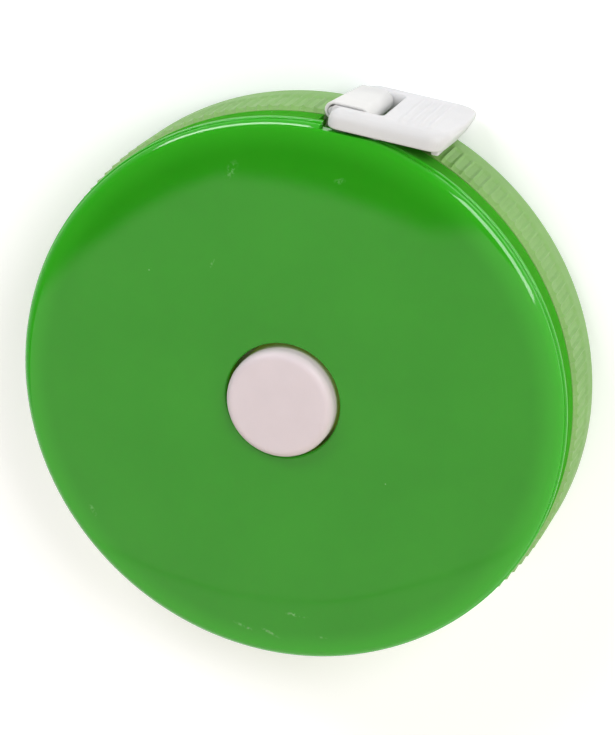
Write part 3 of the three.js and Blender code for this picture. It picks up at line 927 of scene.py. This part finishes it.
tape = {
    "thickness": 0.27,
    "low": 2.05,
    "high": 9.05,
    # height of the straight stretch, and the lip that it bends round: centre and radius
    "run": 24.385,
    "lip": (1.6, 23.5),
    "lipRadius": 0.885,
    # the share of the pull that the print reads rises from none to all between these two
    "bendEnd": 1.6,
    "tabSide": 2.2,
    # the free stretch leaves the winding a hair outside it, so the winding can turn under it
    "leadTurn": 36.37,
    "leadRadius": 18.86,
    "leadLap": 4,
    "steps": 24,
    # the loop round the tab's bar
    "barGap": 0.15,
    "loopEnd": 1.6,
}
scale = {
    # the printed scale, in mm along and across the tape
    "ticks": (1.5, 2.3, 3.2),
    "tickWidth": 0.2,
    "digitEnd": 9.4,
    "digitStep": 1.4,
    "digitFoot": 1.0,
    "digitHeight": 2.6,
    "columns": 4,
    "rows": 5,
    "ink": "#232326",
}
# plain digits on a grid of 3 columns by 5 rows, one word for each row from the top
digits = (
    "111 101 101 101 111", "010 110 010 010 111", "111 001 111 100 111", "111 001 111 001 111",
    "101 101 111 001 001", "111 100 111 001 111", "111 100 111 101 111", "111 001 001 010 010",
    "111 101 111 101 111", "111 101 111 001 111",
)


def printedTape():
    # the same cloth with its centimetre scale: matt black ink, read from the pulled end
    material = coatedTape()
    material.name = "printed PVC-coated glass cloth"
    tree = material.node_tree
    shader = next(node for node in tree.nodes if node.type == "BSDF_PRINCIPLED")
    place = addNode(tree, "ShaderNodeTexCoord").outputs["Object"]
    axes = addNode(tree, "ShaderNodeSeparateXYZ", {0: place})
    values = {
        "x": axes.outputs["X"],
        "y": axes.outputs["Y"],
        "z": axes.outputs["Z"],
        "restX": addNode(tree, "ShaderNodeAttribute", attribute_name="restX").outputs["Fac"],
        "share": addNode(tree, "ShaderNodeAttribute", attribute_name="pullShare").outputs["Fac"],
    }
    short, middle, long = scale["ticks"]
    half = scale["tickWidth"] / 2
    recipe = [
        # how far the tape is pulled, then the place along it from the tab and across it
        ("moved", "SUBTRACT", "x", "restX"),
        ("pulled", "DIVIDE", "moved", "share"),
        ("end", "ADD", "pulled", tape["tabSide"] * mm),
        ("left", "SUBTRACT", "end", "x"),
        ("along", "DIVIDE", "left", mm),
        ("high", "DIVIDE", "z", mm),
        ("across", "SUBTRACT", "high", tape["low"]),
        ("outside", "GREATER_THAN", "y", tape["run"] * mm),
        # ticks at every millimetre, longer at 5 and 10
        ("to1", "PINGPONG", "along", 0.5),
        ("to5", "PINGPONG", "along", 2.5),
        ("to10", "PINGPONG", "along", 5),
        ("at1", "LESS_THAN", "to1", half),
        ("at5", "LESS_THAN", "to5", half),
        ("at10", "LESS_THAN", "to10", half),
        ("length5", "MULTIPLY_ADD", "at5", middle - short, short),
        ("length", "MULTIPLY_ADD", "at10", long - middle, "length5"),
        ("tickFoot", "SUBTRACT", tape["high"] - tape["low"], "length"),
        ("inTick", "GREATER_THAN", "across", "tickFoot"),
        ("tick", "MULTIPLY", "inTick", "at1"),
        # which number, which of its digits and which square of that digit
        ("tens", "DIVIDE", "along", 10),
        ("before", "FLOOR", "tens"),
        ("number", "ADD", "before", 1),
        ("local", "MULTIPLY_ADD", "before", -10, "along"),
        ("fromEnd", "SUBTRACT", scale["digitEnd"], "local"),
        ("places", "DIVIDE", "fromEnd", scale["digitStep"]),
        ("place", "FLOOR", "places"),
        ("unit", "POWER", 10, "place"),
        ("shifted", "DIVIDE", "number", "unit"),
        ("whole", "FLOOR", "shifted"),
        ("digit", "MODULO", "whole", 10),
        ("used", "GREATER_THAN", "whole", 0.5),
        ("started", "GREATER_THAN", "places", 0),
        ("part", "SUBTRACT", "places", "place"),
        ("rightwards", "SUBTRACT", 1, "part"),
        ("columns", "MULTIPLY", "rightwards", scale["columns"]),
        ("column", "FLOOR", "columns"),
        ("inGlyph", "LESS_THAN", "column", scale["columns"] - 1.5),
        ("fromTop", "SUBTRACT", scale["digitFoot"] + scale["digitHeight"], "across"),
        ("rows", "MULTIPLY", "fromTop", scale["rows"] / scale["digitHeight"]),
        ("row", "FLOOR", "rows"),
        ("belowTop", "GREATER_THAN", "rows", 0),
        ("aboveFoot", "LESS_THAN", "rows", scale["rows"]),
        ("square", "MULTIPLY_ADD", "row", scale["columns"] - 1, "column"),
        ("bit", "POWER", 2, "square"),
    ]
    # each digit's squares are the bits of one number, read from the top left
    glyph = 0
    for i, rows in enumerate(digits):
        squares = rows.replace(" ", "")
        word = sum(2 ** k for k, square in enumerate(squares) if square == "1")
        recipe.append((f"is{i}", "COMPARE", "digit", i, 0.5))
        recipe.append((f"glyph{i}", "MULTIPLY_ADD", f"is{i}", word, glyph))
        glyph = f"glyph{i}"
    recipe += [
        ("parts", "DIVIDE", glyph, "bit"),
        ("whole2", "FLOOR", "parts"),
        ("odd", "MODULO", "whole2", 2),
        ("filled", "GREATER_THAN", "odd", 0.5),
    ]
    ink = "filled"
    for name in ("used", "started", "inGlyph", "belowTop", "aboveFoot"):
        recipe.append((f"{ink}{name}", "MULTIPLY", ink, name))
        ink += name
    recipe += [("printed", "MAXIMUM", ink, "tick"), ("ink", "MULTIPLY", "printed", "outside")]
    for name, operation, *inputs in recipe:
        sockets = {i: values.get(value, value) for i, value in enumerate(inputs)}
        values[name] = addNode(tree, "ShaderNodeMath", sockets, operation=operation).outputs[0]
    cloth = shader.inputs["Base Color"].links[0].from_socket
    inked = addNode(tree, "ShaderNodeMix", {
        0: values["ink"],
        6: cloth,
        7: hexColour(scale["ink"]),
    }, data_type="RGBA")
    tree.links.new(inked.outputs[2], shader.inputs["Base Color"])
    return material


def stripBody(name, path, thickness, low, high):
    # a flat strip that follows points in the XY plane, its width along Z and its edges eased
    half = thickness / 2
    edge = thickness * 0.25
    mesh = bmesh.new()
    rings = []
    for i, here in enumerate(path):
        along = (path[min(i + 1, len(path) - 1)] - path[max(i - 1, 0)]).normalized()
        across = Vector((-along.y, along.x))
        sides = [(half, low + edge), (half - edge, low), (edge - half, low), (-half, low + edge)]
        sides += [(-half, high - edge), (edge - half, high), (half - edge, high), (half, high - edge)]
        places = [(here + across * side, z) for side, z in sides]
        rings.append([mesh.verts.new((p.x * mm, p.y * mm, z * mm)) for p, z in places])
    joinRings(mesh, rings)
    return finishMesh(mesh, name, 50)


def makeTape():
    t = tape
    normal = math.radians(t["leadTurn"]) + math.pi / 2
    start = arcPoints((0, 0), t["leadRadius"], normal + math.radians(t["leadLap"]), normal, 4)
    bend = arcPoints(t["lip"], t["lipRadius"], normal, math.pi / 2, 12)
    run = []
    for i in range(1, t["steps"] + 1):
        run.append(Vector((t["bendEnd"] + (t["tabSide"] - t["bendEnd"]) * i / t["steps"], t["run"])))
    strip = stripBody("tapeRun", [*start, *bend, *run], t["thickness"], t["low"], t["high"])
    dress(strip, printedTape(), "tape_lead")
    # the print needs each point's place at rest and its share of the pull
    places = [v.co.x for v in strip.data.vertices]
    along = [min(max((x / mm - t["bendEnd"]) / (t["tabSide"] - t["bendEnd"]), 0), 1) for x in places]
    strip.data.attributes.new("restX", "FLOAT", "POINT").data.foreach_set("value", places)
    shares = strip.data.attributes.new("pullShare", "FLOAT", "POINT")
    shares.data.foreach_set("value", [part * part * (3 - 2 * part) for part in along])
    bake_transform(strip)

    left, right, low, high = tab["bar"]
    half = (high - low) / 2
    offset = t["barGap"] + t["thickness"] / 2
    top = high + offset
    rightCentre = (right - half, (t["run"] + top) / 2)
    path = [Vector((t["tabSide"], t["run"]))]
    path += arcPoints(rightCentre, top - rightCentre[1], -math.pi / 2, math.pi / 2, 28)
    path += arcPoints((left + half, (low + high) / 2), half + offset, math.pi / 2, math.pi * 1.5, 24)
    path.append(Vector((t["loopEnd"], low - offset)))
    loop = stripBody("tapeLoop", path, t["thickness"], t["low"], t["high"])
    skewLeft(loop.data.vertices)
    dress(loop, tapeFinish, "tape_end_loop", "tab")


print("tape")
makeTape()


# Tape on the reel, from the pin in the drum outwards

winding = {
    "inner": 12.1,
    "bend": 0.4,
    "first": 13.035,
    "last": 18.552,
    "turns": 15.1,
    "end": 127.5,
    "steps": 60,
}


def makeWinding():
    w = winding
    end = math.radians(w["end"])
    start = end + w["turns"] * fullTurn
    radial = Vector((math.cos(start), math.sin(start)))
    clockwise = Vector((radial.y, -radial.x))
    # out of the drum, round a small bend and into the first turn
    centre = radial * (w["first"] - w["bend"]) + clockwise * w["bend"]
    path = [radial * w["inner"]]
    for p in arcPoints((0, 0), w["bend"], math.pi, math.pi / 2, 6):
        path.append(centre + (radial * p.y + clockwise * p.x))
    count = round(w["turns"] * w["steps"])
    for i in range(1, count + 1):
        radius = w["first"] + (w["last"] - w["first"]) * i / count
        angle = end + (count - i) / w["steps"] * fullTurn
        path.append(Vector((radius * math.cos(angle), radius * math.sin(angle))))
    piece = stripBody("tapeWinding", path, tape["thickness"], tape["low"], tape["high"])
    dress(piece, tapeFinish, "tape_winding", "reel")


print("winding")
makeWinding()


# Return spring of the button

spring = {
    "radius": 1.94,
    "wire": 0.16,
    "low": 8.77,
    "high": 11.85,
    "coils": 5.5,
    "closed": 0.75,
    "steps": 220,
    "sides": 10,
}


def makeSpring():
    s = spring
    mesh = bmesh.new()
    rings = []
    low, high = s["low"] + s["wire"], s["high"] - s["wire"]
    for i in range(s["steps"] + 1):
        turn = s["coils"] * i / s["steps"]
        # the end coils lie flat
        climb = min(max((turn - s["closed"]) / (s["coils"] - 2 * s["closed"]), 0), 1)
        angle = turn * fullTurn
        radial = Vector((math.cos(angle), math.sin(angle), 0))
        centre = radial * s["radius"] + Vector((0, 0, low + (high - low) * climb))
        ring = []
        for k in range(s["sides"]):
            side = fullTurn * k / s["sides"]
            offset = radial * math.cos(side) + Vector((0, 0, math.sin(side)))
            ring.append(mesh.verts.new((centre + offset * s["wire"]) * mm))
        rings.append(ring)
    joinRings(mesh, rings)
    piece = finishMesh(mesh, "returnSpring", 60)
    dress(piece, steelFinish, "return_spring")
    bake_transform(piece)


print("return spring")
makeSpring()


# Power spring: the coil turns with the reel, and its tail stays in the slot of the post

powerSpring = {
    "inner": 3.6,
    "outer": 10.0,
    "turns": 8,
    "closed": 0.7,
    "thickness": 0.2,
    "hook": 10.7,
    "bend": 0.25,
    # where the tail starts, its radius and where it ends
    "tail": (2.27, 3.36, -48),
    "low": 2.35,
    "high": 5.35,
    "steps": 40,
}


def makePowerSpring():
    p = powerSpring
    bend = p["bend"]
    # clockwise and outwards, the first stretch close round the post, up to the hook in the drum
    last = math.asin(bend / p["outer"])
    count = p["turns"] * p["steps"]
    coil = []
    for i in range(count + 1):
        turns = p["turns"] * i / count
        share = max(turns - p["closed"], 0) / (p["turns"] - p["closed"])
        radius = p["inner"] + (p["outer"] - p["inner"]) * share
        angle = last + (p["turns"] - turns) * fullTurn
        coil.append(Vector((radius * math.cos(angle), radius * math.sin(angle))))
    coil += arcPoints((p["outer"] + bend, bend), bend, math.pi, math.pi * 1.5, 6)[1:]
    coil.append(Vector((p["hook"], 0)))
    piece = stripBody("powerSpring", coil, p["thickness"], p["low"], p["high"])
    dress(piece, steelFinish, "power_spring", "reel")

    start, radius, end = p["tail"]
    path = [Vector((start, 0)), *arcPoints((radius - bend, -bend), bend, math.pi / 2, 0.1, 6)]
    path += arcPoints((0, 0), radius, -1.5 * bend / radius, math.radians(end), 12)
    tail = stripBody("powerSpringTail", path, p["thickness"], p["low"], p["high"])
    dress(tail, steelFinish, "power_spring", "case")


print("power spring")
makePowerSpring()


# Hidden pieces keep their solids and get their finishes

hiddenFinishes = {
    "brake_slider": innerFinish,
    "brake_ring": rubberFinish,
    "reel": innerFinish,
    "brake_plate": innerFinish,
    "spring_cover": innerFinish,
    "slip_washer": innerFinish,
    "tape_anchor_pin": innerFinish,
}
print("hidden pieces")
for name, finish in hiddenFinishes.items():
    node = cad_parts[name]
    node.data.materials.clear()
    node.data.materials.append(finish)


# Floor, lights and camera

studio = {
    "floorSize": 9000,
    "floorDepth": 20,
    "floorColours": ("#fcfcff", "#ffffff"),
    "floorGlow": 0.18,
    "glowColour": "#f1f6ff",
}
view = {
    # place, aimed at, turn about its own axis in degrees
    "place": (56.72, 90.05, 227.54),
    "target": (1.745, 3.561, 11.7),
    "turn": -135.66,
    "lens": 137.07,
    "sensor": 36,
}
panels = {
    # name: place, aimed at, width and height, turn about its own axis, power
    "leftPanel": ((-482, 512, 383), (0, 0, 0), (545, 200), -20, 3.2),
    "rightPanel": ((456, 422, 503), (0, 0, 0), (444, 340), 0, 3.32),
}
ceiling = {
    # planes through the object: dim sky lies past the first three, the fourth is a seam
    "topEdge": (0.002, 0.991, 0.131),
    "leftEdge": (-0.596, 0.793, -0.128),
    "rightEdge": (-0.556, 0.830, 0.052),
    "seam": (-0.350, 0.792, 0.500),
    "softness": 0.015,
    "seamWidth": 0.006,
    "seamShare": 0.4,
    "strength": 1.2,
    "colour": "#ece5d8",
    # the dim sky: how high up it stands, 1 is straight up, and how bright it is there
    "skyLow": (0.2, 0.5),
    "skyHigh": (0.55, 0.08),
}


def paintedFloor():
    # matt painted board: an even pale ground with the faintest mottle
    material, tree, shader, place = addMaterial("matt painted board", {
        "Emission Color": hexColour(studio["glowColour"]),
        "Emission Strength": studio["floorGlow"],
    })
    tree.links.new(addCloud(tree, place, 60, *studio["floorColours"]), shader.inputs["Base Color"])
    tree.links.new(addCloud(tree, place, 20, 0.8, 0.9), shader.inputs["Roughness"])
    return material


def standAt(thing, place, target, turn):
    # at its place, aimed at the target and turned about its own axis
    bpy.context.scene.collection.objects.link(thing)
    place = Vector(place)
    aim = (Vector(target) - place).to_track_quat("-Z", "Y").to_matrix().to_4x4()
    spin = Matrix.Rotation(math.radians(turn), 4, "Z")
    thing.matrix_world = Matrix.Translation(place * mm) @ aim @ spin


def makeSky():
    # a pale ceiling behind the camera that ends in straight edges, dim sky past them
    c = ceiling
    world = bpy.data.worlds.new("studio")
    bpy.context.scene.world = world
    world.use_nodes = True
    tree = world.node_tree
    tree.nodes.clear()
    towards = addNode(tree, "ShaderNodeTexCoord").outputs["Generated"]
    sides = {}
    for name in ("topEdge", "leftEdge", "rightEdge", "seam"):
        dot = addNode(tree, "ShaderNodeVectorMath", {0: towards, 1: c[name]}, operation="DOT_PRODUCT")
        sides[name] = dot.outputs["Value"]
    either = {0: sides["topEdge"], 1: sides["leftEdge"]}
    pastLeft = addNode(tree, "ShaderNodeMath", either, operation="MAXIMUM")
    both = {0: pastLeft.outputs[0], 1: sides["rightEdge"]}
    past = addNode(tree, "ShaderNodeMath", both, operation="MINIMUM")
    covered = addNode(tree, "ShaderNodeMapRange", {
        "Value": past.outputs[0],
        "From Min": -c["softness"],
        "From Max": c["softness"],
        "To Min": 1,
        "To Max": 0,
    })
    up = addNode(tree, "ShaderNodeSeparateXYZ", {0: towards})
    dim = addNode(tree, "ShaderNodeValToRGB", {"Fac": up.outputs["Z"]})
    for stop, (height, grey) in zip(dim.color_ramp.elements, (c["skyLow"], c["skyHigh"])):
        stop.position = height
        stop.color = (grey, grey, grey, 1)
    colour = addNode(tree, "ShaderNodeMix", {
        0: covered.outputs[0],
        6: dim.outputs[0],
        7: hexColour(c["colour"]),
    }, data_type="RGBA")
    aside = addNode(tree, "ShaderNodeMath", {0: sides["seam"]}, operation="ABSOLUTE")
    strength = addNode(tree, "ShaderNodeMapRange", {
        "Value": aside.outputs[0],
        "From Max": c["seamWidth"],
        "To Min": c["seamShare"] * c["strength"],
        "To Max": c["strength"],
    })
    sky = addNode(tree, "ShaderNodeBackground", {"Color": colour.outputs[2], "Strength": strength.outputs[0]})
    addNode(tree, "ShaderNodeOutputWorld", {"Surface": sky.outputs[0]})


def makeStudio():
    half = studio["floorSize"] / 2
    floor = boxBody("floor", (-half, -half, -studio["floorDepth"]), (half, half, 0))
    floor.data.materials.append(paintedFloor())
    for name, (place, target, size, turn, power) in panels.items():
        lamp = bpy.data.lights.new(name, "AREA")
        lamp.shape = "RECTANGLE"
        lamp.size = size[0] * mm
        lamp.size_y = size[1] * mm
        lamp.energy = power
        standAt(bpy.data.objects.new(name, lamp), place, target, turn)
    makeSky()
    lens = bpy.data.cameras.new("camera")
    lens.sensor_fit = "VERTICAL"
    lens.sensor_height = view["sensor"]
    lens.lens = view["lens"]
    lens.clip_start = 0.01
    lens.clip_end = 10
    camera = bpy.data.objects.new("camera", lens)
    standAt(camera, view["place"], view["target"], view["turn"])
    bpy.context.scene.camera = camera
    bpy.context.scene.view_settings.view_transform = "Standard"


print("studio")
makeStudio()
